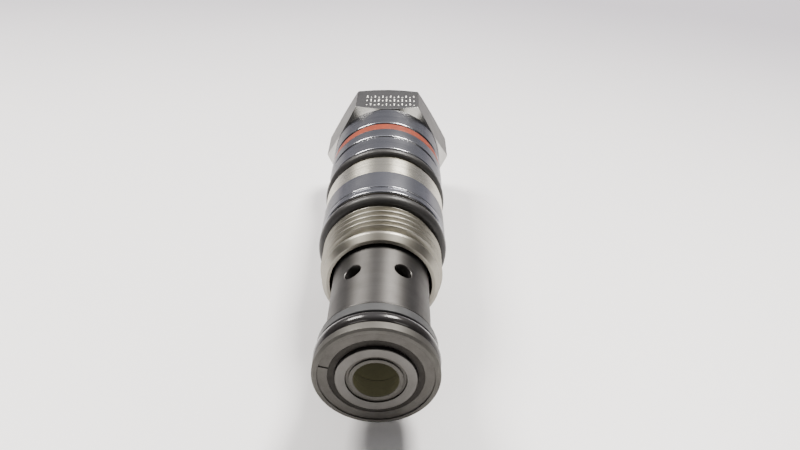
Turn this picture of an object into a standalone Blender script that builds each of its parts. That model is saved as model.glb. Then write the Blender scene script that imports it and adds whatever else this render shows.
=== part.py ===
"""Screw-in hydraulic cartridge valve: a fixed-orifice flow control with a pressure-compensating spool.

The valve lies along +Y, nose towards -Y, with one hexagon flat up. The origin is on the axis, half way
along the valve. Every piece is drawn about its own local Z axis and hangs from one empty that turns
local Z into world +Y. Stations are distances in millimetres behind the front edge of the sleeve.
"""

import math

import bmesh
import bpy
from mathutils import Vector

MM = 0.001
TURN = 2 * math.pi
SEGMENTS = 32
FIT_GAP = 0.3
SEAL_GAP = 0.1

# Overall
VALVE_LENGTH = 97.2
NOSE_PROUD = 0.4
HEX_END = VALVE_LENGTH - NOSE_PROUD

# Hexagon cap
HEX_FLATS = 28.575
HEX_FLAT_R = HEX_FLATS / 2
HEX_ENVELOPE_R = 16.9
HEX_START = 83.1
HEX_FRONT_CONE = 1.9
HEX_REAR_CONE = 1.7
HEX_END_FACE_R = 13.95
CENTRE_MARK_R = 1.6
CENTRE_MARK_DEPTH = 1.2
COLLAR_R = 14.1
COLLAR_FRONT_R = 13.95
COLLAR_START = 60.5
COLLAR_LINE = 66.8
BAND_GROOVE = (71.2, 74.7)
BAND_GROOVE_R = 12.4
SPIGOT_START = 46.0
SPIGOT_R = 11.0
NECK_R = 11.75
CAP_BORE_R = 6.7
CAP_BORE_END = 87.6
CAP_BORE_CONE = 1.5
SPIGOT_GLAND = (48.6, 50.8)
SPIGOT_GLAND_R = 9.5

# Threaded body
BODY_START = 25.9
BODY_END = 57.5
BODY_MOUTH_R = 10.5
BODY_MOUTH_DEPTH = 2.4
BODY_BORE_R = 10.3
BODY_CHAMBER_START = 41.5
BODY_CHAMBER_R = SPIGOT_R + FIT_GAP
SHOULDER_R = 12.1
SHOULDER_END = 27.95
UNDERCUT_R = 11.54
THREAD_PITCH = 25.4 / 14
THREAD_CREST_R = 12.65
THREAD_DEPTH = 1.11
THREAD_SPAN = (29.6, 36.4)
THREAD_SAMPLES_PER_PITCH = 6
BODY_GLAND = (36.6, 40.3)
BODY_GLAND_R = 11.1
FLANGE_R = 13.75
FLANGE_STEP = 49.2
FLANGE_GROOVE = (41.95, 42.65)
FLANGE_GROOVE_DEPTH = 0.4
FLANGE_REAR_CHAMFER = 1.7

# Sleeve
NOSE_LAND_R = 11.16
NOSE_LAND_END = 1.9
NOSE_GLAND_R = 8.95
NOSE_GLAND_END = 7.2
REAR_LAND_R = 10.85
REAR_LAND_END = 8.6
SLEEVE_R = 9.73
SLEEVE_BORE_R = 8.06
SLEEVE_END = 44.2
RING_LIP_R = 10.15
RING_GROOVE = (0.42, 1.5)
RING_GROOVE_R = 10.6
PORT_STATION = 19.4
PORT_R = 1.8
PORT_FIRST_ANGLE = math.radians(28)
SLEEVE_GLAND = (31.2, 34.6)
SLEEVE_GLAND_R = 8.95
SNAP_GROOVE = (42.6, 43.6)
SNAP_GROOVE_R = 9.0

# Compensator spool, at rest against the nose retaining ring
SPOOL_STROKE = 4.5
SPOOL_R = 8.0
SPOOL_BOSS_R = 7.1
SPOOL_SHOULDER = 1.7
SPOOL_END = SPIGOT_START - FIT_GAP - SPOOL_STROKE
SPOOL_PORT_GROOVE = (17.0, 21.8)
SPOOL_PORT_GROOVE_R = 6.9
SPOOL_PORT_R = 1.7
SPOOL_BORE_R = 4.9
SPOOL_SPRING_BORE_R = 6.65
SPOOL_SPRING_BORE_START = 26.0
INSERT_SEAT_R = 5.33
INSERT_SEAT_END = 4.4
BALANCE_GROOVES = (24.6, 27.2)

# Orifice insert
ORIFICE_R = 3.95
ORIFICE_LIP_R = 4.75
ORIFICE_LIP_BASE = 0.25
ORIFICE_THROAT_END = 1.6

# Seals and rings, outer radii as fitted
NOSE_SEAL_R = 11.3
NOSE_SEAL_CENTRE = 3.62
NOSE_SEAL_HALF_LENGTH = 1.31
NOSE_BACKUP_START = 5.08
NOSE_BACKUP_R = 10.95
BODY_SEAL_R = 13.84
BODY_SEAL_HALF_LENGTH = 1.4
CAP_SEAL_R = 14.25
CAP_SEAL_HALF_LENGTH = 1.22
NOSE_RING_INNER_R = 7.6
NOSE_RING_THICKNESS = 0.28
NOSE_RING_END_ANGLE = math.radians(-76)

# Main spring
WIRE_R = 0.9
SPRING_R = 5.45
SPRING_ACTIVE_TURNS = 11
SPRING_CLOSED_PITCH = 2 * WIRE_R + 0.15
SPRING_STEPS_PER_TURN = 14
SPRING_WIRE_SIDES = 6
GUIDE_STEM_R = 4.2
GUIDE_FLANGE = 1.2
SEAT_STATION = 84.0

# name: base colour, metallic, roughness
FINISHES = {
    "zinc_plate": ((0.56, 0.57, 0.60), 1.0, 0.28),
    "ground_steel": ((0.50, 0.48, 0.46), 1.0, 0.34),
    "honed_steel": ((0.46, 0.45, 0.43), 1.0, 0.30),
    "spring_steel": ((0.24, 0.23, 0.22), 1.0, 0.42),
    "black_rubber": ((0.018, 0.018, 0.018), 0.0, 0.35),
    "black_ptfe": ((0.035, 0.037, 0.038), 0.0, 0.5),
    "orange_rubber": ((0.62, 0.10, 0.03), 0.0, 0.45),
}


def clear_scene():
    for obj in list(bpy.data.objects):
        bpy.data.objects.remove(obj, do_unlink=True)


def make_materials():
    made = {}
    for name, (colour, metallic, roughness) in FINISHES.items():
        material = bpy.data.materials.new(name)
        material.use_nodes = True
        shader = material.node_tree.nodes["Principled BSDF"]
        shader.inputs["Base Color"].default_value = (*colour, 1.0)
        shader.inputs["Metallic"].default_value = metallic
        shader.inputs["Roughness"].default_value = roughness
        material.diffuse_color = (*colour, 1.0)
        made[name] = material
    return made


def on_circle(radius, angle, station):
    """A local point at an angle from the valve's top, turning towards +X."""
    return Vector((radius * math.sin(angle), -radius * math.cos(angle), station)) * MM


def add_object(name, bm, material, parent):
    bmesh.ops.recalc_face_normals(bm, faces=bm.faces)
    mesh = bpy.data.meshes.new(name)
    bm.to_mesh(mesh)
    bm.free()
    mesh.materials.append(MATERIALS[material])
    mesh.shade_smooth()
    mesh.set_sharp_from_angle(angle=math.radians(35))
    obj = bpy.data.objects.new(name, mesh)
    bpy.context.collection.objects.link(obj)
    obj.parent = parent
    return obj


def turned(name, outline, material, parent, segments=SEGMENTS, phase=0.0):
    """A solid of revolution. outline is a closed loop of (station, radius) points, or of functions
    that give one for an angle. A point of radius 0 becomes one vertex on the axis."""
    bm = bmesh.new()
    rings = []
    for point in outline:
        if not callable(point) and point[1] == 0:
            rings.append([bm.verts.new(on_circle(0, 0, point[0]))])
            continue
        ring = []
        for step in range(segments):
            angle = phase + TURN * step / segments
            station, radius = point(angle) if callable(point) else point
            ring.append(bm.verts.new(on_circle(radius, angle, station)))
        rings.append(ring)
    for ring, after in zip(rings, rings[1:] + rings[:1]):
        for step in range(segments):
            ahead = (step + 1) % segments
            corners = (ring[step % len(ring)], ring[ahead % len(ring)],
                       after[ahead % len(after)], after[step % len(after)])
            face = list(dict.fromkeys(corners))
            if len(face) > 2:
                bm.faces.new(face)
    return add_object(name, bm, material, parent)


def swept(name, frames, section, material, parent):
    """A closed bar. frames are (centre, outward, along) in millimetres, section is a list of
    (outward, along) offsets that go once round the bar."""
    bm = bmesh.new()
    loops = []
    for centre, outward, along in frames:
        loop = [bm.verts.new((centre + outward * out + along * up) * MM) for out, up in section]
        loops.append(loop)
    count = len(section)
    for loop, after in zip(loops, loops[1:]):
        for side in range(count):
            ahead = (side + 1) % count
            bm.faces.new((loop[side], loop[ahead], after[ahead], after[side]))
    bm.faces.new(loops[0])
    bm.faces.new(list(reversed(loops[-1])))
    return add_object(name, bm, material, parent)


def oval(centre, half_length, half_depth, count=8):
    """The section of an O-ring: a closed loop of (station, radius) points about centre."""
    points = []
    for step in range(count):
        turn = TURN * step / count
        points.append((centre[0] + half_length * math.cos(turn), centre[1] + half_depth * math.sin(turn)))
    return points


def collar_outline(start, end, inner, outer, bevel):
    """A plain ring with its two outer edges bevelled."""
    return [(start, inner), (start, outer - bevel), (start + bevel, outer),
            (end - bevel, outer), (end, outer - bevel), (end, inner)]


def cut_with(obj, cutter, operation):
    cutter.hide_render = True
    cutter.display_type = "WIRE"
    modifier = obj.modifiers.new(cutter.name, "BOOLEAN")
    modifier.operation = operation
    modifier.solver = "EXACT"
    modifier.object = cutter


def drill_radial_ports(obj, station, radius, first_angle, sides):
    """Three straight drillings across the axis, which leave six evenly spaced ports."""
    for index in range(3):
        angle = first_angle + index * math.pi / 3
        drill = turned(
            f"{obj.name}_drill_{index}",
            [(-15, 0), (-15, radius), (15, radius), (15, 0)],
            "ground_steel",
            obj.parent,
            segments=sides,
        )
        drill.location = (0, 0, station * MM)
        drill.rotation_mode = "QUATERNION"
        drill.rotation_quaternion = on_circle(1, angle, 0).to_track_quat("Z", "Y")
        cut_with(obj, drill, "DIFFERENCE")


def thread_point(station):
    """One row of the external thread: a 60 degree form that fades into the core at both ends."""

    def at(angle):
        phase = (station / THREAD_PITCH - angle / TURN) % 1.0
        rise = abs(2 * phase - 1)
        form = min(max((rise - 0.2) / 0.65, 0.0), 1.0)
        fade = min(station - THREAD_SPAN[0], THREAD_SPAN[1] - station) / 0.8
        height = THREAD_DEPTH * form * min(max(fade, 0.0), 1.0)
        return station, THREAD_CREST_R - THREAD_DEPTH + height

    return at


def hex_cap(parent):
    outline = [
        (SPIGOT_START, CAP_BORE_R),
        (SPIGOT_START, SPIGOT_R - 0.4),
        (SPIGOT_START + 0.4, SPIGOT_R),
        (SPIGOT_GLAND[0], SPIGOT_R),
        (SPIGOT_GLAND[0], SPIGOT_GLAND_R),
        (SPIGOT_GLAND[1], SPIGOT_GLAND_R),
        (SPIGOT_GLAND[1], SPIGOT_R),
        (BODY_END + FIT_GAP, SPIGOT_R),
        (BODY_END + FIT_GAP, NECK_R),
        (COLLAR_START, NECK_R),
        (COLLAR_START, COLLAR_FRONT_R - 0.35),
        (COLLAR_START + 0.35, COLLAR_FRONT_R),
        (COLLAR_LINE - 0.3, COLLAR_FRONT_R),
        (COLLAR_LINE, COLLAR_FRONT_R - 0.2),
        (COLLAR_LINE + 0.3, COLLAR_R),
        (BAND_GROOVE[0] - 0.2, COLLAR_R),
        (BAND_GROOVE[0], COLLAR_R - 0.2),
        (BAND_GROOVE[0], BAND_GROOVE_R),
        (BAND_GROOVE[1], BAND_GROOVE_R),
        (BAND_GROOVE[1], COLLAR_R - 0.3),
        (BAND_GROOVE[1] + 0.3, COLLAR_R),
        (HEX_START, COLLAR_R),
        (HEX_START + HEX_FRONT_CONE, HEX_ENVELOPE_R),
        (HEX_END - HEX_REAR_CONE, HEX_ENVELOPE_R),
        (HEX_END, HEX_END_FACE_R),
        (HEX_END, CENTRE_MARK_R),
        (HEX_END - CENTRE_MARK_DEPTH, 0),
        (CAP_BORE_END + CAP_BORE_CONE, 0),
        (CAP_BORE_END, CAP_BORE_R),
    ]
    cap = turned("hex_cap", outline, "zinc_plate", parent)
    corner_r = HEX_FLAT_R / math.cos(math.pi / 6)
    prism = turned(
        "hexagon",
        [(SPIGOT_START - 5, 0), (SPIGOT_START - 5, corner_r), (HEX_END + 5, corner_r), (HEX_END + 5, 0)],
        "zinc_plate",
        parent,
        segments=6,
        phase=math.pi / 6,
    )
    cut_with(cap, prism, "INTERSECT")


def threaded_body(parent):
    first, last = THREAD_SPAN
    rows = round((last - first) / THREAD_PITCH * THREAD_SAMPLES_PER_PITCH)
    thread = [thread_point(first + (last - first) * row / rows) for row in range(1, rows)]
    core_r = THREAD_CREST_R - THREAD_DEPTH
    outline = [
        (BODY_START, BODY_MOUTH_R),
        (BODY_START, SHOULDER_R - 0.3),
        (BODY_START + 0.3, SHOULDER_R),
        (SHOULDER_END - 0.15, SHOULDER_R),
        (SHOULDER_END, UNDERCUT_R),
        (first, core_r),
        *thread,
        (last, core_r),
        (BODY_GLAND[0], BODY_GLAND_R),
        (BODY_GLAND[1], BODY_GLAND_R),
        (BODY_GLAND[1], FLANGE_R - 0.25),
        (BODY_GLAND[1] + 0.25, FLANGE_R),
        (FLANGE_GROOVE[0], FLANGE_R),
        (FLANGE_GROOVE[0] + 0.15, FLANGE_R - FLANGE_GROOVE_DEPTH),
        (FLANGE_GROOVE[1] - 0.15, FLANGE_R - FLANGE_GROOVE_DEPTH),
        (FLANGE_GROOVE[1], FLANGE_R),
        (FLANGE_STEP, FLANGE_R),
        (FLANGE_STEP + 0.15, FLANGE_R - 0.12),
        (BODY_END - FLANGE_REAR_CHAMFER, FLANGE_R),
        (BODY_END, FLANGE_R - 0.6),
        (BODY_END, BODY_CHAMBER_R),
        (BODY_CHAMBER_START, BODY_CHAMBER_R),
        (BODY_CHAMBER_START, BODY_BORE_R),
        (BODY_START + BODY_MOUTH_DEPTH, BODY_BORE_R),
        (BODY_START + BODY_MOUTH_DEPTH - 0.2, BODY_MOUTH_R),
    ]
    turned("threaded_body", outline, "zinc_plate", parent)


def sleeve(parent):
    outline = [
        (0, RING_LIP_R),
        (0, NOSE_LAND_R - 0.4),
        (0.35, NOSE_LAND_R),
        (NOSE_LAND_END, NOSE_LAND_R),
        (NOSE_LAND_END, NOSE_GLAND_R),
        (NOSE_GLAND_END, NOSE_GLAND_R),
        (NOSE_GLAND_END, REAR_LAND_R - 0.15),
        (NOSE_GLAND_END + 0.25, REAR_LAND_R),
        (REAR_LAND_END, SLEEVE_R),
        (SLEEVE_GLAND[0], SLEEVE_R),
        (SLEEVE_GLAND[0], SLEEVE_GLAND_R),
        (SLEEVE_GLAND[1], SLEEVE_GLAND_R),
        (SLEEVE_GLAND[1], SLEEVE_R),
        (SNAP_GROOVE[0], SLEEVE_R),
        (SNAP_GROOVE[0], SNAP_GROOVE_R),
        (SNAP_GROOVE[1], SNAP_GROOVE_R),
        (SNAP_GROOVE[1], SLEEVE_R),
        (SLEEVE_END - 0.3, SLEEVE_R),
        (SLEEVE_END, SLEEVE_R - 0.3),
        (SLEEVE_END, SLEEVE_BORE_R),
        (RING_GROOVE[1], SLEEVE_BORE_R),
        (RING_GROOVE[1], RING_GROOVE_R),
        (RING_GROOVE[0], RING_GROOVE_R),
        (RING_GROOVE[0], RING_LIP_R),
    ]
    solid = turned("sleeve", outline, "ground_steel", parent)
    drill_radial_ports(solid, PORT_STATION, PORT_R, PORT_FIRST_ANGLE, sides=12)


def compensator_spool(parent):
    def balance_groove(station):
        return [(station, SPOOL_R), (station, SPOOL_R - 0.35),
                (station + 0.5, SPOOL_R - 0.35), (station + 0.5, SPOOL_R)]

    grooves = [point for station in BALANCE_GROOVES for point in balance_groove(station)]
    outline = [
        (-NOSE_PROUD, INSERT_SEAT_R),
        (-NOSE_PROUD, SPOOL_BOSS_R - 0.15),
        (-NOSE_PROUD + 0.15, SPOOL_BOSS_R),
        (SPOOL_SHOULDER, SPOOL_BOSS_R),
        (SPOOL_SHOULDER, SPOOL_R - 0.15),
        (SPOOL_SHOULDER + 0.15, SPOOL_R),
        (SPOOL_PORT_GROOVE[0], SPOOL_R),
        (SPOOL_PORT_GROOVE[0], SPOOL_PORT_GROOVE_R),
        (SPOOL_PORT_GROOVE[1], SPOOL_PORT_GROOVE_R),
        (SPOOL_PORT_GROOVE[1], SPOOL_R),
        *grooves,
        (SPOOL_END - 0.3, SPOOL_R),
        (SPOOL_END, SPOOL_R - 0.3),
        (SPOOL_END, SPOOL_SPRING_BORE_R),
        (SPOOL_SPRING_BORE_START, SPOOL_SPRING_BORE_R),
        (SPOOL_SPRING_BORE_START, SPOOL_BORE_R),
        (INSERT_SEAT_END, SPOOL_BORE_R),
        (INSERT_SEAT_END, INSERT_SEAT_R),
    ]
    solid = turned("compensator_spool", outline, "honed_steel", parent)
    drill_radial_ports(solid, PORT_STATION, SPOOL_PORT_R, PORT_FIRST_ANGLE, sides=10)


def orifice_insert(parent):
    outside = INSERT_SEAT_R - SEAL_GAP
    outline = [
        (-NOSE_PROUD, ORIFICE_R),
        (-NOSE_PROUD, ORIFICE_LIP_R - 0.1),
        (-NOSE_PROUD + 0.1, ORIFICE_LIP_R),
        (ORIFICE_LIP_BASE, ORIFICE_LIP_R),
        (ORIFICE_LIP_BASE, outside),
        (INSERT_SEAT_END - FIT_GAP, outside),
        (INSERT_SEAT_END - FIT_GAP, SPOOL_BORE_R - 0.2),
        (ORIFICE_THROAT_END, ORIFICE_R),
    ]
    turned("orifice_insert", outline, "honed_steel", parent)


def front_spring_guide(parent):
    front = SPOOL_SPRING_BORE_START + FIT_GAP
    outer = SPOOL_SPRING_BORE_R - FIT_GAP
    outline = [
        (front, 1.0),
        (front, outer),
        (front + GUIDE_FLANGE, outer),
        (front + GUIDE_FLANGE, GUIDE_STEM_R),
        (front + 6.0, GUIDE_STEM_R),
        (front + 6.8, GUIDE_STEM_R - 0.8),
        (front + 6.8, 1.0),
    ]
    turned("front_spring_guide", outline, "spring_steel", parent, segments=20)


def nose_retaining_ring(parent):
    """A spiral retaining ring: a flat strip wound twice. Its front end shows on the left of the nose, and
    the front turn runs down from there."""
    outer = RING_GROOVE_R - 0.15
    pitch = NOSE_RING_THICKNESS + 0.05
    start = RING_GROOVE[0] + 0.08
    steps = 2 * SEGMENTS - 1
    frames = []
    for step in range(steps):
        angle = NOSE_RING_END_ANGLE - TURN * step / SEGMENTS
        centre = Vector((0, 0, start + pitch * step / SEGMENTS))
        frames.append((centre, on_circle(1 / MM, angle, 0), Vector((0, 0, 1))))
    section = [(NOSE_RING_INNER_R, 0), (outer, 0), (outer, NOSE_RING_THICKNESS),
               (NOSE_RING_INNER_R, NOSE_RING_THICKNESS)]
    swept("nose_retaining_ring", frames, section, "spring_steel", parent)


def main_spring(parent):
    """Round wire coiled between the two seats, its end coils closed up."""
    start = SPOOL_SPRING_BORE_START + FIT_GAP + GUIDE_FLANGE + FIT_GAP + WIRE_R
    end = SEAT_STATION - FIT_GAP - WIRE_R
    active_pitch = (end - start - 2 * SPRING_CLOSED_PITCH) / SPRING_ACTIVE_TURNS
    turns = SPRING_ACTIVE_TURNS + 2
    frames = []
    for step in range(turns * SPRING_STEPS_PER_TURN + 1):
        turn = step / SPRING_STEPS_PER_TURN
        closed = min(turn, 1.0) + max(turn - turns + 1, 0.0)
        station = start + SPRING_CLOSED_PITCH * closed + active_pitch * (turn - closed)
        outward = on_circle(1 / MM, TURN * turn, 0)
        frames.append((outward * SPRING_R + Vector((0, 0, station)), outward, Vector((0, 0, 1))))
    section = []
    for side in range(SPRING_WIRE_SIDES):
        turn = TURN * side / SPRING_WIRE_SIDES
        section.append((WIRE_R * math.cos(turn), WIRE_R * math.sin(turn)))
    swept("main_spring", frames, section, "spring_steel", parent)


def spring_seat_and_shims(parent):
    outer = CAP_BORE_R - FIT_GAP
    seat_back = SEAT_STATION + GUIDE_FLANGE
    outline = [
        (SEAT_STATION - 5.6, 1.0),
        (SEAT_STATION - 5.6, GUIDE_STEM_R - 0.8),
        (SEAT_STATION - 4.8, GUIDE_STEM_R),
        (SEAT_STATION, GUIDE_STEM_R),
        (SEAT_STATION, outer),
        (seat_back, outer),
        (seat_back, 1.0),
    ]
    turned("rear_spring_seat", outline, "spring_steel", parent, segments=20)
    thick_start = seat_back + FIT_GAP
    thin_start = thick_start + 0.8 + FIT_GAP
    for name, start, thickness in (("shim_thick", thick_start, 0.8), ("shim_thin", thin_start, 0.4)):
        outline = [(start, 2.5), (start, outer), (start + thickness, outer), (start + thickness, 2.5)]
        turned(name, outline, "spring_steel", parent, segments=20)


def sleeve_float_washer(parent):
    """A wave washer: three shallow waves round the ring take up the sleeve's end float."""

    def wavy(station, radius):
        return lambda angle: (station + 0.12 * math.sin(3 * angle), radius)

    front = BODY_CHAMBER_START + 0.25
    inner, outer = SLEEVE_R + 0.25, BODY_CHAMBER_R - 0.25
    outline = [wavy(front, inner), wavy(front, outer), wavy(front + 0.35, outer), wavy(front + 0.35, inner)]
    turned("sleeve_float_washer", outline, "spring_steel", parent)


def sleeve_retaining_ring(parent):
    """An external snap ring with a gap, seated in the groove at the sleeve's rear end."""
    inner, outer = SNAP_GROOVE_R + 0.12, BODY_CHAMBER_R - 0.35
    start, end = SNAP_GROOVE[0] + 0.12, SNAP_GROOVE[1] - 0.12
    gap = math.radians(24)
    steps = SEGMENTS - 2
    frames = []
    for step in range(steps + 1):
        angle = gap / 2 + (TURN - gap) * step / steps
        frames.append((Vector((0, 0, 0)), on_circle(1 / MM, angle, 0), Vector((0, 0, 1))))
    section = [(inner, start), (outer, start), (outer, end), (inner, end)]
    swept("sleeve_retaining_ring", frames, section, "spring_steel", parent)


def seals(parent):
    """Each seal's section fills its gland, short of the metal on both sides by a seal gap."""
    nose_inner = NOSE_GLAND_R + SEAL_GAP
    nose_half = (NOSE_SEAL_R - nose_inner) / 2
    nose_centre = (NOSE_SEAL_CENTRE, NOSE_SEAL_R - nose_half)
    turned("nose_o_ring", oval(nose_centre, NOSE_SEAL_HALF_LENGTH, nose_half), "black_rubber", parent)
    backup = collar_outline(NOSE_BACKUP_START, NOSE_GLAND_END - 0.15, nose_inner, NOSE_BACKUP_R, 0.15)
    turned("nose_backup_ring", backup, "black_ptfe", parent)

    sleeve_inner = SLEEVE_GLAND_R + SEAL_GAP
    sleeve_outer = BODY_BORE_R - SEAL_GAP
    sleeve_half = (sleeve_outer - sleeve_inner) / 2
    centre = (SLEEVE_GLAND[0] + 0.2 + 0.7, sleeve_inner + sleeve_half)
    turned("sleeve_o_ring", oval(centre, 0.7, sleeve_half, 6), "black_rubber", parent)
    start = SLEEVE_GLAND[1] - 1.4
    end = start + 1.2
    flat = [(start, sleeve_inner), (start, sleeve_outer), (end, sleeve_outer), (end, sleeve_inner)]
    turned("sleeve_backup_ring", flat, "black_ptfe", parent)

    body_inner = BODY_GLAND_R + SEAL_GAP
    body_half = (BODY_SEAL_R - body_inner) / 2
    body_centre = (sum(BODY_GLAND) / 2 + 0.15, BODY_SEAL_R - body_half)
    turned("body_o_ring", oval(body_centre, BODY_SEAL_HALF_LENGTH, body_half), "black_rubber", parent)

    cap_inner = NECK_R + SEAL_GAP
    cap_half = (CAP_SEAL_R - cap_inner) / 2
    cap_centre = ((BODY_END + FIT_GAP + COLLAR_START) / 2, CAP_SEAL_R - cap_half)
    turned("cap_o_ring", oval(cap_centre, CAP_SEAL_HALF_LENGTH, cap_half), "black_rubber", parent)

    spigot_inner = SPIGOT_GLAND_R + SEAL_GAP
    spigot_outer = BODY_CHAMBER_R - SEAL_GAP
    spigot_half = (spigot_outer - spigot_inner) / 2
    centre = (sum(SPIGOT_GLAND) / 2, spigot_inner + spigot_half)
    turned("cap_spigot_o_ring", oval(centre, 0.95, spigot_half, 6), "black_rubber", parent)


def identification_band(parent):
    start, end = BAND_GROOVE
    outline = collar_outline(start + 0.15, end - 0.15, BAND_GROOVE_R + SEAL_GAP, COLLAR_R - 0.15, 0.35)
    turned("identification_band", outline, "orange_rubber", parent)


def add_empty(name, parent, location, rotation=(0, 0, 0)):
    empty = bpy.data.objects.new(name, None)
    empty.empty_display_size = 10 * MM
    bpy.context.collection.objects.link(empty)
    empty.parent = parent
    empty.location = location
    empty.rotation_euler = rotation
    return empty


clear_scene()
MATERIALS = make_materials()
nose_y = (NOSE_PROUD - VALVE_LENGTH / 2) * MM
valve_axis = add_empty("valve_axis", None, (0, nose_y, 0), (-math.pi / 2, 0, 0))
spool_slide = add_empty("spool_slide", valve_axis, (0, 0, 0))

hex_cap(valve_axis)
identification_band(valve_axis)
threaded_body(valve_axis)
sleeve(valve_axis)
seals(valve_axis)
nose_retaining_ring(valve_axis)
sleeve_float_washer(valve_axis)
sleeve_retaining_ring(valve_axis)
spring_seat_and_shims(valve_axis)
main_spring(valve_axis)
compensator_spool(spool_slide)
orifice_insert(spool_slide)
front_spring_guide(spool_slide)
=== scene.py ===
"""Looks of the cartridge valve: turned surfaces, thread, seals, marks and materials round the CAD frame.

The valve lies along +Y with its nose towards the camera. Lengths here are millimetres unless a name says
otherwise. A station is a distance behind the sleeve's front edge, and angles round the valve are counted
from its top towards +X.
"""

import math

import bpy
from mathutils import Matrix, Vector


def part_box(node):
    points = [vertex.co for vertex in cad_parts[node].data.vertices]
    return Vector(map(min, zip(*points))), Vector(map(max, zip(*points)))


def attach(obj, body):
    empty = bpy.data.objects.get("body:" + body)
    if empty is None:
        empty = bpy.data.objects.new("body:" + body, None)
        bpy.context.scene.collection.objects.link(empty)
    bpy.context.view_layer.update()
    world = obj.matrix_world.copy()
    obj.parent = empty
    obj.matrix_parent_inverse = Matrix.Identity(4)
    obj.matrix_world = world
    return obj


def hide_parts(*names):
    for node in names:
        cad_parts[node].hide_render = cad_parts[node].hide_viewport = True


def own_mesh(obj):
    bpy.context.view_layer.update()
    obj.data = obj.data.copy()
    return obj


MM = 0.001
TURN = 2 * math.pi
SEGMENTS = 192
FILLET_STEPS = 3
# A fillet takes at most this share of each side that it joins, and a corner this open gets none.
FILLET_SHARE = 0.45
NEARLY_STRAIGHT = math.radians(176)
SHORTEST_STRETCH = 1e-5
SAME_RADIUS = 0.2
ON_AXIS = 1e-6
# Corners in metres that round to the same place on this grid are one corner.
CORNER_GRID = 1e7
# How far past an edge a face has to lie to take the material beyond that edge.
FACE_MARGIN = 0.02

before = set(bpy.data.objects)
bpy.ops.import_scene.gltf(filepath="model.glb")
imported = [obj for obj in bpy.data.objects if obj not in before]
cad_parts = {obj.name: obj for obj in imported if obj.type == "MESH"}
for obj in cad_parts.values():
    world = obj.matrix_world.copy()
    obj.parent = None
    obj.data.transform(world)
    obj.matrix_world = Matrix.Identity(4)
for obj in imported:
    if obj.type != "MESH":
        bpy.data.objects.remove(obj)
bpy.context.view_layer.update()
NOSE_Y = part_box("sleeve")[0].y / MM


def reach(node):
    """A round node's outer radius."""
    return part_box(node)[1].z / MM


def bore(node):
    """A round node's inner radius."""
    corners = [vertex.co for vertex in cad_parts[node].data.vertices]
    return min(math.hypot(corner.x, corner.z) for corner in corners) / MM


def span(node):
    """Where a node starts and ends along the valve."""
    low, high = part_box(node)
    return low.y / MM - NOSE_Y, high.y / MM - NOSE_Y


# ---------------------------------------------------------------- camera

CAMERA_OFFSET = Vector((3.92, -84.06, 84.46))
CAMERA_PITCH = math.radians(32.42)
CAMERA_YAW = math.radians(0.08)
CAMERA_ROLL = math.radians(0.57)
CAMERA_LENS = 30.72
CAMERA_SENSOR = 36
CAMERA_NEAREST = 0.005
CAMERA_FURTHEST = 20


def make_camera():
    """A camera above and in front of the nose."""
    data = bpy.data.cameras.new("camera")
    data.lens = CAMERA_LENS
    data.sensor_width = CAMERA_SENSOR
    data.clip_start = CAMERA_NEAREST
    data.clip_end = CAMERA_FURTHEST
    camera = bpy.data.objects.new("camera", data)
    bpy.context.scene.collection.objects.link(camera)
    turn = Matrix.Rotation(CAMERA_YAW, 4, "Z")
    tilt = Matrix.Rotation(math.pi / 2 - CAMERA_PITCH, 4, "X")
    roll = Matrix.Rotation(CAMERA_ROLL, 4, "Z")
    place = Matrix.Translation((CAMERA_OFFSET + Vector((0, NOSE_Y, 0))) * MM)
    camera.matrix_world = place @ turn @ tilt @ roll
    bpy.context.scene.camera = camera


make_camera()

# ---------------------------------------------------------------- mesh building


def around(angle, radius, station):
    """The point at that angle, radius and station, in the row frame in metres."""
    return (radius * math.sin(angle) * MM, (station + NOSE_Y) * MM, radius * math.cos(angle) * MM)


def facing(angle, along, outward):
    """The direction with these parts along the axis and away from it, at that angle."""
    return (outward * math.sin(angle), along, outward * math.cos(angle))


class Shell:
    """Collects faces whose corners carry their own normals, and joins corners that coincide."""

    def __init__(self):
        self.index = {}
        self.points = []
        self.faces = []
        self.normals = []

    def corner(self, point):
        key = tuple(round(value * CORNER_GRID) for value in point)
        if key not in self.index:
            self.index[key] = len(self.points)
            self.points.append(point)
        return self.index[key]

    def face(self, corners):
        """corners is a list of (point, normal). Corners that coincide count once."""
        ids, normals = [], []
        for point, normal in corners:
            corner = self.corner(point)
            if corner not in ids:
                ids.append(corner)
                normals.append(normal)
        if len(ids) < 3:
            return
        a, b, c = (Vector(self.points[i]) for i in (ids[0], ids[1], ids[2]))
        if (b - a).cross(c - a).dot(Vector(normals[0]) + Vector(normals[1]) + Vector(normals[2])) < 0:
            ids.reverse()
            normals.reverse()
        self.faces.append(ids)
        self.normals.extend(normals)

    def build(self, name, materials, finish=None):
        """Makes the object. finish gives a face's place in materials from its station and radius."""
        mesh = bpy.data.meshes.new(name)
        mesh.from_pydata(self.points, [], self.faces)
        mesh.update()
        mesh.shade_smooth()
        mesh.normals_split_custom_set(self.normals)
        for material in materials:
            mesh.materials.append(material)
        if finish:
            for polygon in mesh.polygons:
                middle = polygon.center / MM
                polygon.material_index = finish(middle.y - NOSE_Y, math.hypot(middle.x, middle.z))
        obj = bpy.data.objects.new(name, mesh)
        bpy.context.scene.collection.objects.link(obj)
        return obj


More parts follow.
